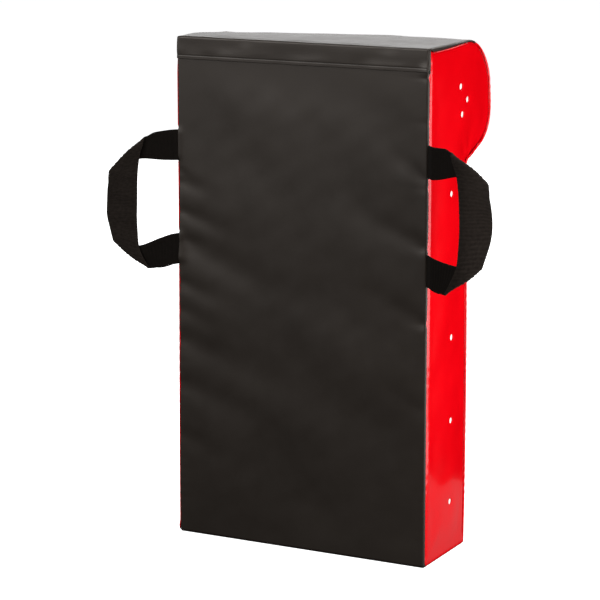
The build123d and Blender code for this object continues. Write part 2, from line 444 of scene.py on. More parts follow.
def belt(name, path, wrap, relief, s, edge=EDGE, starts_in_seam=True, ends_in_seam=True,
         seam_depth=SEAM_DEPTH, half=HALF, wrap_left=None):
    """A cover that follows a path in side view and turns over both side edges into the side seams.

    s is the distances along the path of its rows, and wrap how far it turns onto the side there.
    """
    points, normals = resample(path, s)
    turns = {}
    for sign, reach in ((1, wrap(s)), (-1, (wrap_left or wrap)(s))):
        full = np.arccos(np.clip(1 - reach / edge, 0, 1))
        turns[sign] = full, edge * full + np.maximum(reach - edge, 0)
    flat = half - edge
    main = graded(flat, BELT_STEP, False, False, [(flat - 14 * MM, flat, 2 * MM)])
    main = np.r_[-main[::-1], main[1:]]
    k = len(TURN_SHARES)
    columns = len(main) + 2 * k
    x = np.zeros((len(s), columns))
    drop, lean, from_seam = (np.zeros_like(x) for _ in range(3))
    x[:, k:-k] = main
    to_seam = np.where(main > 0, turns[1][1][:, None], turns[-1][1][:, None])
    from_seam[:, k:-k] = flat - np.abs(main) + to_seam
    for sign, where in ((1, slice(columns - k, columns)), (-1, slice(k - 1, None, -1))):
        full, run = turns[sign]
        along = TURN_SHARES[None, :] * run[:, None]
        angle = np.minimum(along / edge, full[:, None])
        over = np.maximum(along - edge * full[:, None], 0)
        x[:, where] = sign * (flat + edge * np.sin(angle))
        drop[:, where] = edge * (1 - np.cos(angle)) + over
        lean[:, where] = sign * angle
        from_seam[:, where] = run[:, None] - along
    from_end = np.full(len(s), 1.0)
    if starts_in_seam:
        from_end = np.minimum(from_end, s)
    if ends_in_seam:
        from_end = np.minimum(from_end, s[-1] - s)
    d = np.minimum(from_seam, from_end[:, None])
    lateral = np.where(drop > 0, np.sign(x) * (flat + drop), x)
    height = dive(d, SEAM_TURN, seam_depth) + relief(lateral, s[:, None], from_seam, from_end[:, None])
    outwards = np.cos(lean) * height - drop
    px = x + np.sin(lean) * height
    py = points[:, :1] + normals[:, :1] * outwards
    pz = points[:, 1:] + normals[:, 1:] * outwards
    vertices = np.stack([px, py, pz], 2).reshape(-1, 3)
    uv = np.stack([lateral, np.broadcast_to(s[:, None], x.shape)], 2).reshape(-1, 2)
    return new_mesh(name, settled(vertices), grid_faces(len(s), columns), uv)


def puckers(along, d, pitch, depth, reach, seed):
    """Small gathers along a seam, fading away from it."""
    drift = waves(along, 0 * along, 9 * pitch, seed, 5) * 0.9
    strength = 0.55 + 0.45 * waves(along, 0 * along, 14 * pitch, seed + 1, 5)
    return depth * np.sin(2 * math.pi * along / pitch + drift) * strength * np.exp(-d / reach)


def tucks(along, d, places, depth, width, reach):
    """Separate pinches at places along a seam."""
    total = np.zeros(np.broadcast(along, d).shape)
    for place, share in places:
        total -= depth * share * bump_at(along, place, width) * np.exp(-d / reach)
    return total


back_cloth = draped_panel("back_drape", HEIGHT - CORNER, 0.004, -0.03, 0.2, 71)
front_cloth = draped_panel("front_drape", front_length, 0.010, -0.006, 1.0, 72)
top_cloth = draped_panel("top_drape", top_length - fold_length, 0.010, 0.01, 1.0, 73)


# Folds on the back: the height at which each leaves the edge, in metres, its angle in degrees below
# level (above it on the right), and its depth, width and reach.
LEFT_FOLDS = (
    (0.481, 32, 1.0 * MM, 4 * MM, 0.020), (0.466, 15, 1.3 * MM, 7 * MM, 0.045),
    (0.429, 19, 1.4 * MM, 7 * MM, 0.085), (0.394, 14, 1.0 * MM, 5 * MM, 0.035),
    (0.388, 20, 1.7 * MM, 12 * MM, 0.24), (0.336, 19, 1.3 * MM, 8 * MM, 0.08),
    (0.300, 20, 0.9 * MM, 8 * MM, 0.07), (0.262, 18, 1.6 * MM, 13 * MM, 0.22),
    (0.203, 18, 1.4 * MM, 13 * MM, 0.18), (0.135, 22, 0.8 * MM, 10 * MM, 0.10),
)
RIGHT_FOLDS = (
    (0.487, 38, 1.2 * MM, 7 * MM, 0.07), (0.407, 22, 1.3 * MM, 9 * MM, 0.10),
    (0.312, 24, 1.2 * MM, 9 * MM, 0.09), (0.200, 26, 0.7 * MM, 9 * MM, 0.06),
)
RIGHT_TUCKS = ((0.480, 1.0), (0.406, 0.8), (0.312, 1.0), (0.560, 0.6))  # heights and strengths


def valley(x, z, start, angle, depth, width, reach):
    """A fold that leaves an edge, at a distance x from it, and widens and fades as it falls away."""
    down = math.radians(angle)
    run = x * math.cos(down) + (start - z) * math.sin(down)
    off = (z - start) * math.cos(down) + x * math.sin(down)
    wide = width + 0.10 * np.maximum(run, 0)
    fading = smooth(run, -4 * MM, 8 * MM) * bump_at(run, 0, reach)
    return -depth * bump_at(off / wide, 0, 1) * fading


# Each relief is a height over x and s, given the distances d from the side seam and e from the ends.
def back_relief(x, s, d, e):
    z = s - heel_length + CORNER
    across = x / HALF
    crown = 1.0 * MM * (1 - across**2) * np.clip(np.sin(math.pi * np.clip(z / 0.62, 0, 1)), 0, 1) ** 0.5
    from_heel = smooth(e, 2 * MM, 40 * MM)
    under_flap = smooth(z, POCKET_Z - 3 * MM, POCKET_Z - 70 * MM)
    edge_fade = smooth(d, 2 * MM, 30 * MM) * from_heel * under_flap
    sweeping = waves(x, z, 0.125, 11, 9, 0.25, angle=math.radians(64))
    rolling = MM * (0.30 * back_cloth(x + HALF, z) + 0.50 * sweeping) * edge_fade
    small = 0.12 * MM * waves(x, z, 0.05, 12, 12, 0.35) * edge_fade
    stitched = puckers(z + 0.3 * (x > 0), d, 13 * MM, 0.2 * MM, 7 * MM, 13) * from_heel * under_flap
    roots = 0
    for root, lift, reach in ((UPPER_ROOT, 1.5 * MM, 6 * MM), (LOWER_ROOT, 2.4 * MM, 9 * MM)):
        beside = smooth(np.abs(z - root), STRAP / 2 + 3 * MM, STRAP / 2 - 4 * MM)
        roots = roots + lift * beside * bump_at(d, 0, reach) * (x < 0)
    pulled = sum(valley(x + HALF, z, *fold) for fold in LEFT_FOLDS)
    pulled = pulled + sum(valley(HALF - x, 2 * fold[0] - z, *fold) for fold in RIGHT_FOLDS)
    pinch = tucks(z, d, RIGHT_TUCKS, 1.4 * MM, 3 * MM, 11 * MM) * under_flap
    notch = tucks(z, d, [(POCKET_Z - 9 * MM, 1)], 1.7 * MM, 3.5 * MM, 7 * MM)
    on_right = (pinch + notch) * (x > 0)
    return crown * under_flap + rolling + small + stitched + roots + pulled + on_right


def top_relief(x, s, d, e):
    on_top = smooth(s, fold_length, fold_length + 12 * MM)
    crown = 1.2 * MM * on_top * (1 - (x / HALF) ** 2) * smooth(e, 0, 30 * MM)
    rolling = 0.8 * MM * top_cloth(x + HALF, s - fold_length) * smooth(d, 2 * MM, 18 * MM)
    stitched = puckers(s, d, 9 * MM, 0.35 * MM, 6 * MM, 23) * on_top
    topstitch = -0.22 * MM * bump_at(s, TOPSTITCH_IN, 0.7 * MM)
    hem = 0.3 * MM * waves(x, 0 * x, 0.045, 25, 9) * (1 - smooth(s, 0, 16 * MM))
    lifted = 2.0 * MM * smooth(x, HALF - 18 * MM, HALF) * (1 - smooth(s, 0, 15 * MM))
    on_flap = smooth(s, 5 * MM, 12 * MM) * (1 - on_top)
    dents = 0.22 * MM * waves(x, s, 0.05, 26, 9, 0.3) * on_flap
    thumbed = bump_at(x, -75 * MM, 9 * MM) + bump_at(x, 120 * MM, 12 * MM)
    pressed = -0.7 * MM * thumbed * bump_at(s, fold_length - 4 * MM, 6 * MM)
    left_corner = np.clip(1 - (x + HALF) / (7 * MM), 0, 1)
    past_fold = smooth(s, fold_length + 5 * MM, fold_length + 30 * MM)
    near_fold = smooth(s, flap_length - 9 * MM, fold_length) * (1 - past_fold)
    eased = -3.4 * MM * (1 - np.sqrt(1 - 0.98 * left_corner**2)) * near_fold
    return crown + rolling * on_top + stitched + topstitch + hem + lifted + dents + pressed + eased


def front_relief(x, s, d, e):
    fade = smooth(d, 2 * MM, 28 * MM) * smooth(e, 1 * MM, 30 * MM)
    from_toe = smooth(front_length - s, 4 * MM, 40 * MM)
    from_neck = np.abs(s - neck_length)
    crown = 1.5 * MM * (1 - (x / HALF) ** 2) * smooth(from_neck, 0, 60 * MM)
    rolling = 1.4 * MM * front_cloth(x + HALF, s) * fade
    creases = 0.7 * MM * waves(x, 0.25 * s, 0.03, 32, 9, 0.4) * np.exp(-from_neck / (16 * MM)) * fade
    stitched = puckers(s, d, 10 * MM, 0.3 * MM, 8 * MM, 33)
    across = puckers(x, e, 11 * MM, 0.25 * MM, 8 * MM, 35)
    return (crown + stitched + across) * from_toe + rolling + creases


def bottom_relief(x, s, d, e):
    """The bottom is flat."""
    return 0.0


back_rows = graded(back_length, 4 * MM, True, False, [(0, 9 * MM, 0.7 * MM), (0.612, 0.63, 0.4 * MM)])
back_cover = belt("back_cover", back_path, even(WRAP_BACK), back_relief, back_rows,
                  ends_in_seam=False, wrap_left=even(WRAP_BACK_LEFT))
top_rows = graded(top_length, 2.5 * MM, False, True,
                  [(0, 9 * MM, 0.45 * MM), (flap_length - 1 * MM, fold_length + 1 * MM, 0.4 * MM)])
top_cover = belt("top_cover_and_flap", top_path, wrap_top, top_relief, top_rows,
                 edge=3.0 * MM, starts_in_seam=False, half=HALF + 0.3 * MM)
front_rows = graded(front_length, 3 * MM, True, True,
                    [(neck_length - 25 * MM, neck_length + 25 * MM, 0.9 * MM)])
front_cover = belt("front_cover", front_path, wrap_front, front_relief, front_rows)
bottom_rows = graded(bottom_length, 8 * MM, True, True)
bottom_cover = belt("bottom_cover", bottom_path, even(WRAP_BOTTOM), bottom_relief, bottom_rows,
                    seam_depth=BOTTOM_SEAM_DEPTH)


# ---------- side covers
OUTLINE_STEP = 2.2 * MM
TOE_START = 0.55  # from here on, the front seam keeps within the toe's radius
VENT_SIDES = 28  # points round a vent
FAR_FROM_SEAM = 13.5 * MM  # where the side's even pattern of points begins
# How far inside the seam the side's rings of points lie.
RING_GAPS = np.array([0.12, 0.35, 0.7, 1.15, 1.7, 2.4, 3.3, 4.4, 5.8, 7.5, 9.5, 12]) * MM
VENT_GAPS = (0, 0.35, 0.9, 1.8, 3.2)  # and how far outside a vent its rings lie, in mm


def closed_line(line):
    """A line closed back to its first point, and the distance along it at each point."""
    closed = np.vstack([line, line[:1]])
    return closed, lengths(closed)


def side_outline(rear_wrap):
    """The side seam's line, clockwise and closed."""
    rear = np.array([[BACK + rear_wrap, z] for z in np.linspace(CORNER, HEIGHT - 8 * MM, 80)])
    s_top = np.linspace(fold_length, top_length, 90)
    p, n = resample(top_path, s_top)
    top = p - n * wrap_top(s_top)[:, None]
    top = top[top[:, 0] > BACK + rear_wrap]
    s_front = np.linspace(0, front_length, 420)
    p, n = resample(front_path, s_front)
    turned = np.where(s_front < TOE_START, wrap_front(s_front), CORNER - 0.05 * MM)
    front = p - n * turned[:, None]
    bottom = np.array([[FRONT - CORNER, WRAP_BOTTOM], [BACK + CORNER, WRAP_BOTTOM]])
    closed, s = closed_line(chain(rear, top, front[front[:, 1] > WRAP_BOTTOM], bottom))
    return along_line(closed, s, np.arange(0, s[-1], OUTLINE_STEP))


def nearest_on(outline, points):
    """Distance to a closed outline, and the distance along it of the nearest place."""
    a = outline
    ab = np.roll(outline, -1, axis=0) - a
    start = closed_line(outline)[1]
    best, where = np.zeros(len(points)), np.zeros(len(points))
    size = (ab**2).sum(1)
    for chunk in np.array_split(np.arange(len(points)), max(len(points) // 2000, 1)):
        p = points[chunk][:, None, :]
        t = np.clip(((p - a) * ab).sum(2) / size, 0, 1)
        gap = np.linalg.norm(p - (a + t[..., None] * ab), axis=2)
        k = gap.argmin(1)
        best[chunk] = gap[np.arange(len(chunk)), k]
        where[chunk] = start[k] + t[np.arange(len(chunk)), k] * np.sqrt(size[k])
    return best, where


def inside(outline, points):
    """Which points lie inside a closed outline."""
    y, z = points[:, 0], points[:, 1]
    odd = np.zeros(len(points), bool)
    for (y0, z0), (y1, z1) in zip(outline, np.roll(outline, -1, axis=0)):
        crosses = (z0 > z) != (z1 > z)
        with np.errstate(divide="ignore", invalid="ignore"):
            odd ^= crosses & (y < (y1 - y0) * (z - z0) / (z1 - z0) + y0)
    return odd


OUTLINES = {1: side_outline(WRAP_BACK), -1: side_outline(WRAP_BACK_LEFT)}


def from_vent(vent, y, z):
    """Distance from a vent's edge, less than nothing inside it."""
    return np.hypot(y - vent.x, z - vent.y) - VENT_RADIUS


def side_points(outline):
    """Points over the side, close together near the seam and clear of the vents."""
    closed, s = closed_line(outline)
    found = []
    for gap in RING_GAPS:
        ring = along_line(closed, s, np.arange(0, s[-1], max(OUTLINE_STEP, 0.55 * gap)))
        way = unit(np.roll(ring, -1, 0) - np.roll(ring, 1, 0))
        ring = ring + gap * np.stack([way[:, 1], -way[:, 0]], 1)
        ring = ring[inside(outline, ring)]
        ring = ring[nearest_on(outline, ring)[0] > 0.97 * gap]
        found.append(ring)
    step = 4 * MM
    rows = np.arange(0, HEIGHT, step * 0.866)  # a pattern of near-equal triangles
    inner = np.array([
        (y + (step / 2 if i % 2 else 0), z)
        for i, z in enumerate(rows)
        for y in np.arange(BACK, ROLL_Y + 90 * MM, step)
    ])
    inner = inner[inside(outline, inner)]
    points = np.vstack([*found, inner[nearest_on(outline, inner)[0] > FAR_FROM_SEAM]])
    for vent in VENTS:
        points = points[from_vent(vent, *points.T) > 4.5 * MM]
    return points


def sewn_to(outline):
    """Pins for a side: everything outside its seam, and the seam itself."""

    def pinned(a, b):
        points = np.stack([a.ravel(), b.ravel()], 1) + outline.min(0)
        held = ~inside(outline, points) | (nearest_on(outline, points)[0] < 4 * MM)
        return held.reshape(a.shape)

    return pinned


def side_cover(name, sign):
    """One red side with its vents."""
    outline = OUTLINES[sign]
    low, span = outline.min(0), np.ptp(outline, axis=0)
    edges = [(i, (i + 1) % len(outline)) for i in range(len(outline))]
    flat = [Vector(p) for p in outline]
    for vent in VENTS:
        first = len(flat)
        for gap in VENT_GAPS:
            turn = np.arange(VENT_SIDES) * 2 * math.pi / VENT_SIDES + 0.1 * gap
            radius = VENT_RADIUS + gap * MM
            flat += [vent + Vector((radius * math.cos(a), radius * math.sin(a))) for a in turn]
        edges += [(first + i, first + (i + 1) % VENT_SIDES) for i in range(VENT_SIDES)]
    flat += [Vector(p) for p in side_points(outline)]
    verts, _, tris, *_ = delaunay_2d_cdt(flat, edges, [], 1, 1e-7)
    yz = np.array([v[:] for v in verts])
    tris = np.array([t[:] for t in tris])
    middle = yz[tris].mean(1)
    keep = inside(outline, middle)
    for vent in VENTS:
        keep &= from_vent(vent, *middle.T) > -0.02 * VENT_RADIUS
    tris = tris[keep]
    d, along = nearest_on(outline, yz)
    y, z = yz[:, 0], yz[:, 1]
    at_foot = smooth(z, 16 * MM, 8 * MM)
    height = dive(d, (9 - 6.5 * at_foot) * MM, (3.3 - 1.6 * at_foot) * MM)
    fade = smooth(d, 3 * MM, 25 * MM)
    seed = 41 if sign > 0 else 51
    cloth = drape(name + "_drape", *span, sewn_to(outline), 0.010, 0.004 * sign, 1.5, seed)
    height += 1.4 * MM * smooth(d, 0, 50 * MM)
    if sign < 0:  # at the left the red stands out past the black, except under the handle's ends
        swell = 2.1 * MM * bump_at(y - BACK, 6 * MM, 6 * MM) * smooth(z, 640 * MM, 600 * MM)
        for root in (UPPER_ROOT, LOWER_ROOT):
            swell = swell * smooth(np.abs(z - root), STRAP / 2 - 1 * MM, STRAP / 2 + 5 * MM)
        height += swell
    height += 0.9 * MM * cloth(y - low[0], z - low[1]) * fade
    height += puckers(along, d, 14 * MM, 0.16 * MM, 7 * MM, seed + 2)
    to_neck = np.hypot(y - ROLL_Y, z - NECK_Z)
    turned = np.arctan2(z - NECK_Z, y - ROLL_Y)
    near_neck = np.exp(-to_neck / (22 * MM)) * smooth(to_neck, 0, 9 * MM)
    height += 0.9 * MM * np.sin(7 * turned + 1.2) * near_neck
    for vent in VENTS:
        height -= 0.45 * MM * np.exp(-np.maximum(from_vent(vent, y, z), 0) / (2.2 * MM))
    vertices = np.stack([sign * (HALF + height), y, z], 1)
    if sign < 0:
        tris = tris[:, ::-1]
    used = np.unique(tris)
    renumber = np.zeros(len(vertices), int)
    renumber[used] = np.arange(len(used))
    return new_mesh(name, settled(vertices[used]), renumber[tris], np.stack([y, z], 1)[used])


side_covers = {"right": side_cover("side_cover_right", 1), "left": side_cover("side_cover_left", -1)}

for cover in (back_cover, top_cover, front_cover, bottom_cover, *side_covers.values()):
    thicken(cover)


# ---------- foam, with its edges eased
# A block's eased edge: how far in from the pad's side, and how far in from the block's outline.
FOAM_EDGE = ((2.4 * MM, 9 * MM), (5.5 * MM, 5.2 * MM), (9 * MM, 4 * MM))
# The foam in a vent: rings as shares of the vent's radius, with their rise.
VENT_FOAM_RINGS = ((0.5, 0.42 * MM), (0.8, 0.2 * MM), (1.15, -0.3 * MM))
VENT_FOAM_SIDES = 24
VENT_FOAM_BELOW = 1.35 * MM


def side_loop(node):
    """The outline of a CAD block's right end, (y, z), anticlockwise seen from the right."""
    mesh = frame["nodes"][node].data
    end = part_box(node)[1].x - 0.01 * MM
    edges = set()
    for face in mesh.polygons:
        corners = [mesh.vertices[i].co for i in face.vertices]
        if min(c.x for c in corners) > end:
            keys = [(round(c.y, 6), round(c.z, 6)) for c in corners]
            for a, b in zip(keys, keys[1:] + keys[:1]):
                if (b, a) in edges:
                    edges.remove((b, a))
                else:
                    edges.add((a, b))
    after = dict(edges)
    first = next(iter(after))
    loop = [first]
    while after[loop[-1]] != first:
        loop.append(after[loop[-1]])
    return np.array(loop)


def inset(loop, gap):
    """A closed anticlockwise outline moved inwards."""
    ahead = unit(np.roll(loop, -1, 0) - loop)
    inwards = np.stack([-ahead[:, 1], ahead[:, 0]], 1)
    before = np.roll(inwards, 1, 0)
    mean = before + inwards
    return loop + gap * mean / np.maximum((mean * before).sum(1), 0.4)[:, None]


def foam_block(name, node):
    """A foam block with its long edges cut back, so that the covers can turn down into their seams."""
    loop = side_loop(node)
    rings = [(HALF - inwards, inset(loop, gap)) for inwards, gap in FOAM_EDGE]
    rings += [(-x, ring) for x, ring in reversed(rings)]
    n = len(loop)
    vertices = np.vstack([np.column_stack([np.full(n, x), ring]) for x, ring in rings])
    last = (len(rings) - 1) * n
    ends = [tuple(range(n)), tuple(range(last, last + n))[::-1]]
    obj = new_mesh(name, settled(vertices), ends + ring_faces(0, len(rings), n))
    obj.data.shade_flat()
    return obj


FOAM_NODES = ("foam_backboard", "foam_core", "foam_strike_layer", "foam_head_roll")
foams = {node: foam_block(node + "_block", node) for node in FOAM_NODES}


def vent_foam(name, sign):
    """The white foam that swells into the vents from behind."""
    vertices, faces = [], []
    co = vertex_places(side_covers["right" if sign > 0 else "left"].data)
    for vent in VENTS:
        near = co[from_vent(vent, co[:, 1], co[:, 2]) < 0.9 * VENT_RADIUS]
        height = np.abs(near[:, 0]).max() - VENT_FOAM_BELOW
        first = len(vertices)
        vertices.append((sign * (height + 0.55 * MM), vent.x, vent.y))
        for share, rise in VENT_FOAM_RINGS:
            for k in range(VENT_FOAM_SIDES):
                a = k * 2 * math.pi / VENT_FOAM_SIDES
                radius = VENT_RADIUS * share
                vertices.append((sign * (height + rise), vent.x + radius * math.cos(a),
                                 vent.y + radius * math.sin(a)))
        for k in range(VENT_FOAM_SIDES):
            faces.append((first, first + 1 + k, first + 1 + (k + 1) % VENT_FOAM_SIDES))
        faces += ring_faces(first + 1, len(VENT_FOAM_RINGS), VENT_FOAM_SIDES)
    return new_mesh(name, settled(vertices), faces if sign > 0 else [f[::-1] for f in faces])


vent_foams = [vent_foam("vent_foam_right", 1), vent_foam("vent_foam_left", -1)]


# ---------- handles
hinges = {j["child"]: Vector(j["pos_m"]) for j in frame["joints"]}
STRAP_HALF_THICK = 1.0 * MM
STRAP_EDGE = 1.3 * MM  # the webbing's edge is rounded over this width
STRAP_ROWS = 1150
# The columns of a strap's mesh from its edge to its middle.
STRAP_COLUMNS = np.array([0, 0.25, 0.7, 1.3, 2.1, 4, 7, 10, 13, 16, 19]) * MM
RIB = 0.17 * MM
RIB_PITCH = 1.5 * MM
BAND = 0.2 * MM  # every third rib stands a little higher
BAND_PITCH = 3 * RIB_PITCH
LIT_FACE_SHIFT = 0.1  # how far along U the UVs of the webbing's lit face lie; the other face is dimmed with painted shade
HANDLE_BACKSET = math.radians(21)  # the loops stand behind the side direction by this angle
FOLD_REACH = 67 * MM  # how far out the strap is folded down
LAYER_GAP = 3.4 * MM  # between the layers at a fold
HANG_EASE = 2e-6  # lets the map pass a little off its places, and so stay smooth
SEWN_RIGHT = (HALF - 2.5 * MM, BACK + WRAP_BACK)  # where the straps end inside the seams, (x, y)
SEWN_LEFT = (HALF - 4 * MM, BACK + 1 * MM)

# Places on a strap folded square, and where they are once the loop hangs: reach and height in mm.
# The right handle has its own places for some of them.
HANG = {
    (0, 532): (0, 531.5), (28, 532): (27.6, 526.9), (48, 532): (37, 522), (67, 513): (60.5, 502),
    (86, 494): (84.3, 477.5), (86, 480): (88.3, 463), (86, 446): (91, 436), (86, 420): (90.2, 413),
    (86, 398.5): (83.8, 388.5), (67, 379.5): (60.8, 368.4), (48, 360.5): (37, 353.2),
    (24, 360.5): (21, 351.8), (12, 360.5): (11.5, 354), (0, 360.5): (0, 358.6),
    (0, 398.5): (0, 398.3), (24, 398.5): (24, 389.8), (48, 398.5): (48.2, 380.6),
    (48, 420): (49.8, 414), (48, 446): (49.4, 440), (48, 494): (46.6, 492.4), (24, 494): (24, 492),
    (0, 494): (0, 491.8), (24, 379.5): (22.5, 370.3), (67, 446): (70.5, 438.5),
}
HANG_RIGHT = {
    (0, 532): (0, 533.2), (28, 532): (27.6, 528), (0, 494): (0, 492.3), (24, 494): (24, 491.8),
    (48, 494): (50.3, 490.4), (48, 446): (54.2, 440), (48, 420): (54.1, 415), (48, 398.5): (51, 386.6),
    (24, 398.5): (24, 392.4), (0, 398.5): (0, 398.9), (0, 360.5): (0, 359), (48, 360.5): (33, 354),
    (24, 360.5): (18, 353.2), (12, 360.5): (9.5, 355.4), (67, 446): (73.4, 438.5), (86, 446): (92.6, 436),
    (86, 420): (91, 413), (86, 398.5): (82.5, 386),
}


def hang(pairs):
    """A smooth map of the plane through pairs of places in mm (a thin plate spline)."""
    square = np.array(list(pairs)) * MM
    hung = np.array(list(pairs.values())) * MM
    n = len(square)

    def kernel(p, q):
        r2 = ((p[:, None] - q[None]) ** 2).sum(2)
        return r2 * np.log(r2 + 1e-12)

    affine = np.column_stack([np.ones(n), square])
    system = np.zeros((n + 3, n + 3))
    system[:n, :n] = kernel(square, square) + HANG_EASE * np.eye(n)
    system[:n, n:] = affine
    system[n:, :n] = affine.T
    weights = np.linalg.solve(system, np.vstack([hung, np.zeros((3, 2))]))

    def apply(p):
        flat = p.reshape(-1, 2)
        bent = kernel(flat, square) @ weights[:n]
        drawn = np.column_stack([np.ones(len(flat)), flat]) @ weights[n:]
        return (bent + drawn).reshape(p.shape)

    return apply


def strap_surface(columns, pairs):
    """A folded strap's middle surface in the handle's plane: places, lift, and the strap's own s, v."""
    fold_a = np.array([FOLD_REACH, UPPER_ROOT])
    fold_b = np.array([FOLD_REACH, LOWER_ROOT])
    run_a, run_b, run_c = np.array([1.0, 0]), np.array([0, -1.0]), np.array([-1.0, 0])
    radius = LAYER_GAP / 2
    total = 2 * FOLD_REACH + UPPER_ROOT - LOWER_ROOT
    s = np.linspace(0, total, STRAP_ROWS)[:, None] * np.ones(len(columns))
    v = np.ones(STRAP_ROWS)[:, None] * columns
    flat = np.stack([s, UPPER_ROOT + v], 2)
    lift = np.zeros_like(s)
    way = run_a
    for place, after, rise in ((fold_a, run_b, 1), (fold_b, run_c, -1)):
        axis = (way + after) / math.sqrt(2)
        across = (way - after) / math.sqrt(2)
        q = (flat - place) @ across
        a = (flat - place) @ axis
        angle = np.clip(q / radius, 0, math.pi)
        inplane = np.where(q < 0, q, radius * np.sin(angle) - q * smooth(q, 0, 12 * MM))
        lift = lift + rise * radius * (1 - np.cos(angle))
        flat = place + a[..., None] * axis + inplane[..., None] * across
        way = after
    return hang(pairs)(flat), lift, s, v


def curled(reach, lift, curl, begins, ends):
    """Reach and lift once the strap curls back, by an angle that grows between two distances."""
    g = np.linspace(-10 * MM, 140 * MM, 1501)
    angle = curl * smooth(g, begins, ends)
    step = g[1] - g[0]
    along = np.cumsum(np.cos(angle)) * step
    back = -np.cumsum(np.sin(angle)) * step
    along -= np.interp(0, g, along)
    back -= np.interp(0, g, back)
    here = np.interp(reach, g, angle)
    return (np.interp(reach, g, along) + lift * np.sin(here),
            np.interp(reach, g, back) + lift * np.cos(here))


def strap(name, sign, pairs, curl, begins, ends, raised):
    """One webbing strap: out of the upper seam, down the grip and back into the lower seam.

    It curls between the reaches begins and ends. raised is how far the top and the foot of its grip
    are lifted.
    """
    half = STRAP / 2
    columns = STRAP_COLUMNS - half
    columns = np.r_[columns, -columns[-2::-1]]
    place, lift, s, v = strap_surface(columns, pairs)
    reach, height = place[..., 0], place[..., 1]
    share = np.clip((height - LOWER_ROOT) / (UPPER_ROOT - LOWER_ROOT), 0, 1)
    height = height + (raised[1] + (raised[0] - raised[1]) * share) * smooth(reach, 0, 90 * MM)
    wander = 0.5 * MM * waves(reach, height, 0.05, 61 if sign > 0 else 62, 7, 0.3)
    wander = wander * smooth(reach, 5 * MM, 40 * MM)
    reach, lift = curled(reach, lift + wander, curl, begins, ends)
    body = "right_handle" if sign > 0 else "left_handle"
    hinge = hinges[body]
    out = np.array([math.cos(HANDLE_BACKSET), -math.sin(HANDLE_BACKSET)])
    toward = np.array([-math.sin(HANDLE_BACKSET), -math.cos(HANDLE_BACKSET)])
    tucked = smooth(reach, 7 * MM, -1 * MM)
    x = abs(hinge.x) + reach * out[0] + lift * toward[0]
    y = hinge.y + reach * out[1] + lift * toward[1]
    inner = SEWN_RIGHT if sign > 0 else SEWN_LEFT
    x = x + tucked * (inner[0] - abs(hinge.x))
    y = y + tucked * (inner[1] - hinge.y)
    mid = np.stack([sign * x, y, height], 2)
    normal = unit(np.cross(np.gradient(mid, axis=0), np.gradient(mid, axis=1)))
    edge = np.clip((half - np.abs(v)) / STRAP_EDGE, 0, 1)
    thick = STRAP_HALF_THICK * np.sqrt(np.clip(1 - (1 - edge) ** 2, 0.02, 1))
    ribs = RIB * np.sin(2 * math.pi * s / RIB_PITCH) + BAND * np.sin(2 * math.pi * s / BAND_PITCH)
    on_grip = smooth(np.minimum(s, s[-1] - s), FOLD_REACH - 12 * MM, FOLD_REACH)
    outwards = thick + ribs * edge * (0.25 + 0.75 * on_grip)
    front = mid + normal * outwards[..., None]
    rear = mid - normal * outwards[..., None]
    index = np.arange(s.size).reshape(s.shape)
    border = np.r_[index[0, ::-1], index[1:, 0], index[-1, 1:], index[-2:0:-1, -1]]
    ahead = np.roll(border, -1)
    walls = np.stack([border, ahead, ahead + s.size, border + s.size], 1)
    faces = grid_faces(*s.shape)
    faces = np.vstack([faces, faces[:, ::-1] + s.size, walls])
    vertices = np.vstack([front.reshape(-1, 3), rear.reshape(-1, 3)])
    uv = np.stack([v.ravel(), s.ravel()], 1)
    # The lit face's UVs are shifted along U; the other face is dimmed with painted shade in the webbing's
    # shader
    lit_face_uv = uv + [LIT_FACE_SHIFT, 0]
    faces_uv = [uv, lit_face_uv] if sign > 0 else [lit_face_uv, uv]
    obj = new_mesh(name, vertices, faces if sign > 0 else faces[:, ::-1], np.vstack(faces_uv))
    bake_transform(obj)
    return obj


straps = {
    "right": strap("handle_strap_right", 1, {**HANG, **HANG_RIGHT},
                   math.radians(48), 43 * MM, 73 * MM, (20 * MM, 9 * MM)),
    "left": strap("handle_strap_left", -1, HANG, math.radians(13), 44 * MM, 60 * MM, (0, 0)),
}


# ---------- stitching
# A stitch's sections: place along it as a share of its length, then size and lift in thread radii.
STITCH = (
    (-0.5, 0.35, -0.6), (-0.36, 0.9, 0.1), (-0.12, 1.0, 0.5),
    (0.12, 1.0, 0.5), (0.36, 0.9, 0.1), (0.5, 0.35, -0.6),
)
STITCH_SIDES = 6
STITCH_PITCH = 4.2 * MM
STITCH_LENGTH = 3.2 * MM
THREAD_RADIUS = 0.28 * MM


def stitching(name, reach):
    """The flap's topstitching: each stitch is a short rounded thread that dips at both ends."""
    vertices, faces = [], []
    for k in range(int(2 * reach / STITCH_PITCH)):
        centre = STITCH_PITCH * (k + 0.5) - reach
        first = len(vertices)
        for place, size, lift in STITCH:
            for m in range(STITCH_SIDES):
                a = -2 * math.pi * m / STITCH_SIDES
                vertices.append((
                    centre + place * STITCH_LENGTH,
                    FLAP_OUT + 0.25 * MM - (math.sin(a) * size + lift) * THREAD_RADIUS,
                    FLAP_END + TOPSTITCH_IN - math.cos(a) * size * THREAD_RADIUS,
                ))
        last = len(vertices) - STITCH_SIDES
        faces += ring_faces(first, len(STITCH), STITCH_SIDES)
        faces.append(tuple(range(first, first + STITCH_SIDES)))
        faces.append(tuple(range(last, last + STITCH_SIDES))[::-1])
    return new_mesh(name, vertices, faces)


topstitch = stitching("flap_topstitch", HALF - 2 * MM)


# ---------- materials
def principled(name, **settings):
    """A material and its Principled shader, with the sockets named in settings set."""
    material = bpy.data.materials.new(name)
    material.use_nodes = True
    bsdf = material.node_tree.nodes["Principled BSDF"]
    for key, value in settings.items():
        bsdf.inputs[key.replace("_", " ")].default_value = value
    return material, bsdf


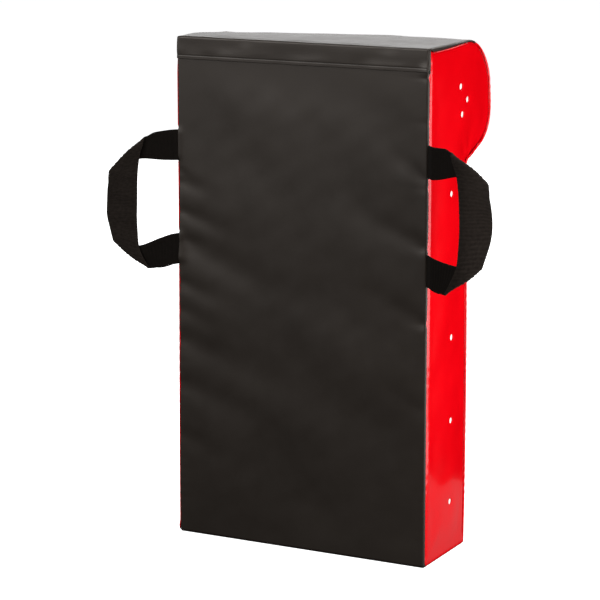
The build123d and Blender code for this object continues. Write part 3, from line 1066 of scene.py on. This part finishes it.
class Shader:
    """A material's node tree, with short names for the steps used here."""

    def __init__(self, name, coordinates="Object", **settings):
        self.material, self.bsdf = principled(name, **settings)
        self.tree = self.material.node_tree
        self.here = self.node("ShaderNodeTexCoord").outputs[coordinates]

    def node(self, kind, operation=None, **inputs):
        """A new node; an input named _0 or _3 goes to the socket of that number."""
        made = self.tree.nodes.new(kind)
        if operation:
            made.operation = operation
        for key, value in inputs.items():
            socket = made.inputs[int(key[1:]) if key[0] == "_" else key.replace("_", " ")]
            if isinstance(value, bpy.types.NodeSocket):
                self.tree.links.new(value, socket)
            else:
                socket.default_value = value
        return made

    def noise(self, scale, detail=3):
        made = self.node("ShaderNodeTexNoise", Vector=self.here, Scale=scale, Detail=detail)
        return made.outputs["Fac"]

    def cells(self, scale):
        return self.node("ShaderNodeTexVoronoi", Vector=self.here, Scale=scale).outputs["Distance"]

    def bands(self, pitch, direction, distortion=0.0):
        """Bands that repeat at a pitch."""
        scale = math.pi / (10 * pitch)
        made = self.node("ShaderNodeTexWave", Vector=self.here, Scale=scale, Distortion=distortion)
        made.bands_direction = direction
        return made.outputs["Fac"]

    def ramp(self, value, dark, light, start=0.3, end=0.7):
        """A colour from dark to light, as a value goes from start to end."""
        made = self.node("ShaderNodeValToRGB", Fac=value)
        for element, place, colour in zip(made.color_ramp.elements, (start, end), (dark, light)):
            element.position = place
            element.color = (*colour, 1)
        return made.outputs["Color"]

    def span(self, value, low, high, start=0.0, end=1.0):
        """A number from low to high, as a value goes from start to end."""
        made = self.node("ShaderNodeMapRange", Value=value, From_Min=start, From_Max=end,
                         To_Min=low, To_Max=high)
        return made.outputs["Result"]

    def add(self, a, b, share):
        return self.node("ShaderNodeMath", "MULTIPLY_ADD", _0=b, _1=share, _2=a).outputs[0]

    def dimmed(self, colour, share):
        return self.node("ShaderNodeVectorMath", "SCALE", _0=colour, _3=share).outputs["Vector"]

    def relief(self, height, distance, strength):
        made = self.node("ShaderNodeBump", Height=height, Distance=distance, Strength=strength)
        self.tree.links.new(made.outputs["Normal"], self.bsdf.inputs["Normal"])

    def colour(self, value):
        self.tree.links.new(value, self.bsdf.inputs["Base Color"])

    def rough(self, value):
        self.tree.links.new(value, self.bsdf.inputs["Roughness"])


def leatherette():
    m = Shader("black_leatherette", IOR=1.46, Specular_Tint=(1.0, 0.93, 0.87, 1))
    m.colour(m.ramp(m.noise(9), (0.0170, 0.0128, 0.0100), (0.0225, 0.0175, 0.0140)))
    m.rough(m.span(m.noise(60, 4), 0.40, 0.50))
    m.relief(m.add(m.cells(1150), m.noise(700), 0.6), 0.0001, 0.35)
    return m.material


def vinyl():
    m = Shader("red_vinyl", IOR=1.5, Specular_Tint=(1.0, 0.3, 0.35, 1),
               Coat_Weight=0.7, Coat_Roughness=0.10)
    m.colour(m.ramp(m.noise(12), (0.72, 0.0003, 0.0036), (0.78, 0.0005, 0.0046)))
    m.rough(m.span(m.noise(45), 0.18, 0.25))
    m.relief(m.add(m.noise(700, 2), m.noise(110), 1.5), 0.0001, 0.06)
    return m.material


def webbing():
    """Black webbing with painted shade: one face is dimmed to 0.15 for the end runs that lie in shade,
    and the other face stays lighter for the grip; the two are told apart by the UVs.
    """
    m = Shader("black_webbing", "UV", Roughness=0.9, IOR=1.25, Specular_Tint=(1.0, 0.82, 0.70, 1),
               Sheen_Weight=0.03, Sheen_Roughness=0.5)
    ribs = m.bands(RIB_PITCH, "Y")
    yarns = m.bands(1.1 * MM, "X")
    weave = m.add(m.noise(260), m.bands(BAND_PITCH, "Y", 1.5), 0.25)
    cloth = m.ramp(weave, (0.0050, 0.0037, 0.0030), (0.0165, 0.0126, 0.0104), end=0.85)
    face = m.node("ShaderNodeSeparateXYZ", Vector=m.here).outputs["X"]
    # Painted shade: where U lies below the lit face's shift, the cloth colour is dimmed to 0.15
    m.colour(m.dimmed(cloth, m.span(face, 0.15, 1.0, 0.45 * LIT_FACE_SHIFT, 0.55 * LIT_FACE_SHIFT)))
    m.relief(m.add(ribs, yarns, 0.6), 0.0002, 0.5)
    return m.material


def foam(name, dark, light):
    m = Shader(name, Roughness=0.9, IOR=1.4)
    m.colour(m.ramp(m.noise(40), dark, light))
    m.relief(m.add(m.cells(900), m.noise(350), 0.7), 0.0003, 0.5)
    return m.material


def tape(name, scale):
    m = Shader(name, Roughness=0.95, IOR=1.4, Sheen_Weight=0.4, Sheen_Roughness=0.6)
    pile = m.cells(scale)
    m.colour(m.ramp(pile, (0.006, 0.006, 0.006), (0.03, 0.03, 0.03), start=0.2))
    m.relief(pile, 0.0006, 0.8)
    return m.material


def thread():
    m = Shader("black_thread", Roughness=0.6, IOR=1.45)
    m.colour(m.ramp(m.noise(900, 2), (0.008, 0.007, 0.006), (0.02, 0.018, 0.016)))
    return m.material


black = leatherette()
red = vinyl()
strap_cloth = webbing()
white_foam = foam("white_foam", (0.80, 0.74, 0.69), (0.9, 0.86, 0.82))
dark_foam = foam("dark_foam", (0.035, 0.035, 0.038), (0.06, 0.06, 0.064))


def dress(obj, material):
    """Gives a piece its material."""
    obj.data.materials.clear()
    obj.data.materials.append(material)


def stands_for(obj, material, slot, body, *nodes, fill=None):
    """Dresses a piece that takes the place of CAD nodes; a blended piece has no body of its own."""
    dress(obj, material)
    if body:
        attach(obj, body)
    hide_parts(*nodes)


stands_for(back_cover, black, "leatherette_black", "pad", "back_panel", fill=0.8)
stands_for(front_cover, red, "vinyl_red", "pad", "front_panel", fill=0.85)
stands_for(bottom_cover, black, "leatherette_black", "pad", "bottom_panel", fill=0.8)
for side, cover in side_covers.items():
    stands_for(cover, red, "vinyl_red", "pad", f"side_panel_{side}", fill=0.8)
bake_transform(top_cover)
stands_for(top_cover, black, "leatherette_black", None, "top_panel", "closure_flap", fill=0.8)
for side, piece in straps.items():
    stands_for(piece, strap_cloth, "webbing_black", None, f"handle_{side}",
               f"handle_tail_{side}_upper", f"handle_tail_{side}_lower")
dress(topstitch, thread())
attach(topstitch, "flap")
for node, block in foams.items():
    look = (dark_foam, "foam_dark") if node == "foam_backboard" else (white_foam, "foam_white")
    stands_for(block, *look, "pad", node, fill=1.0)
for piece in vent_foams:
    dress(piece, white_foam)
    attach(piece, "pad")
for node, scale in (("hook_tape", 1500), ("loop_tape", 900)):
    mesh = frame["nodes"][node].data
    mesh.materials.clear()
    mesh.materials.append(tape(node + "_pile", scale))


# ---------- floor, light, camera
def area_light(name, place, aim, size, power):
    lamp = bpy.data.lights.new(name, "AREA")
    lamp.shape = "RECTANGLE"
    lamp.size, lamp.size_y = size
    lamp.energy = power
    obj = bpy.data.objects.new(name, lamp)
    obj.location = place
    obj.rotation_mode = "QUATERNION"
    obj.rotation_quaternion = (Vector(aim) - Vector(place)).to_track_quat("-Z", "Y")
    obj.visible_camera = False
    bpy.context.scene.collection.objects.link(obj)


FLOOR = 30  # half the floor's width


def floor():
    """A pale floor that lights itself, and neither shines on the pad nor shows in it."""
    corners = [(-FLOOR, -FLOOR, 0), (FLOOR, -FLOOR, 0), (FLOOR, FLOOR, 0), (-FLOOR, FLOOR, 0)]
    obj = new_mesh("floor", corners, [(0, 1, 2, 3)])
    material, _ = principled("pale_floor", Base_Color=(0.93, 0.93, 0.93, 1), Roughness=0.9,
                             Specular_IOR_Level=0.0, Emission_Color=(1, 1, 1, 1), Emission_Strength=1.0)
    obj.data.materials.append(material)
    obj.visible_glossy = False
    obj.visible_diffuse = False


floor()
world = bpy.data.worlds.new("studio")
bpy.context.scene.world = world
world.use_nodes = True
world.node_tree.nodes["Background"].inputs["Color"].default_value = (1, 1, 1, 1)
world.node_tree.nodes["Background"].inputs["Strength"].default_value = 1.0
world.cycles_visibility.glossy = False
world.cycles_visibility.diffuse = False

middle = (0, 0, HEIGHT / 2)
area_light("right_softbox", (2.3, -0.35, 1.15), middle, (0.9, 1.9), 27)
area_light("right_low_strip", (1.10, -0.16, 0.24), (HALF, 0, 0.3), (0.8, 0.46), 7)
area_light("right_side_strip", (1.02, 0.50, 0.26), (HALF, 0, 0.3), (0.5, 0.5), 2)
area_light("right_floor_bounce", (0.85, -0.05, 0.002), (0.85, -0.05, 1), (0.7, 0.9), 4)
area_light("near_floor_glow", (0.31, 0.135, 0.001), (0.31, 0.135, 1), (0.26, 0.39), 0.056)
area_light("front_softbox", (-0.3, 1.7, 2.5), middle, (1.4, 1.0), 24)
area_light("overhead_softbox", (0.3, -0.6, 2.5), middle, (1.8, 1.4), 26)
area_light("top_edge_strip", (0.62, 2.2, 1.72), (HALF, 0, HEIGHT), (0.9, 0.5), 9)
area_light("far_backdrop", (-1.6, 3.1, 1.5), (0, 0, HEIGHT), (2.6, 1.4), 27)
area_light("front_left_fill", (-1.5, -2.6, 1.7), (0, BACK, 0.5), (1.4, 1.4), 66)

# The camera: lens and sensor in mm, and its direction from the pad, fitted to the photograph.
LENS, SENSOR = 148.65, 36
CAMERA_PLACE = (1.401, BACK - 2.699, 0.957)
azimuth, elevation = math.radians(27.42), math.radians(11.712)

camera_data = bpy.data.cameras.new("camera")
camera_data.lens = LENS
camera_data.sensor_width = SENSOR
camera = bpy.data.objects.new("camera", camera_data)
camera.location = CAMERA_PLACE
towards = Vector((
    math.sin(azimuth) * math.cos(elevation),
    -math.cos(azimuth) * math.cos(elevation),
    math.sin(elevation),
))
camera.rotation_mode = "QUATERNION"
camera.rotation_quaternion = (-towards).to_track_quat("-Z", "Y")
bpy.context.scene.collection.objects.link(camera)
bpy.context.scene.camera = camera
bpy.context.scene.view_settings.view_transform = "Standard"
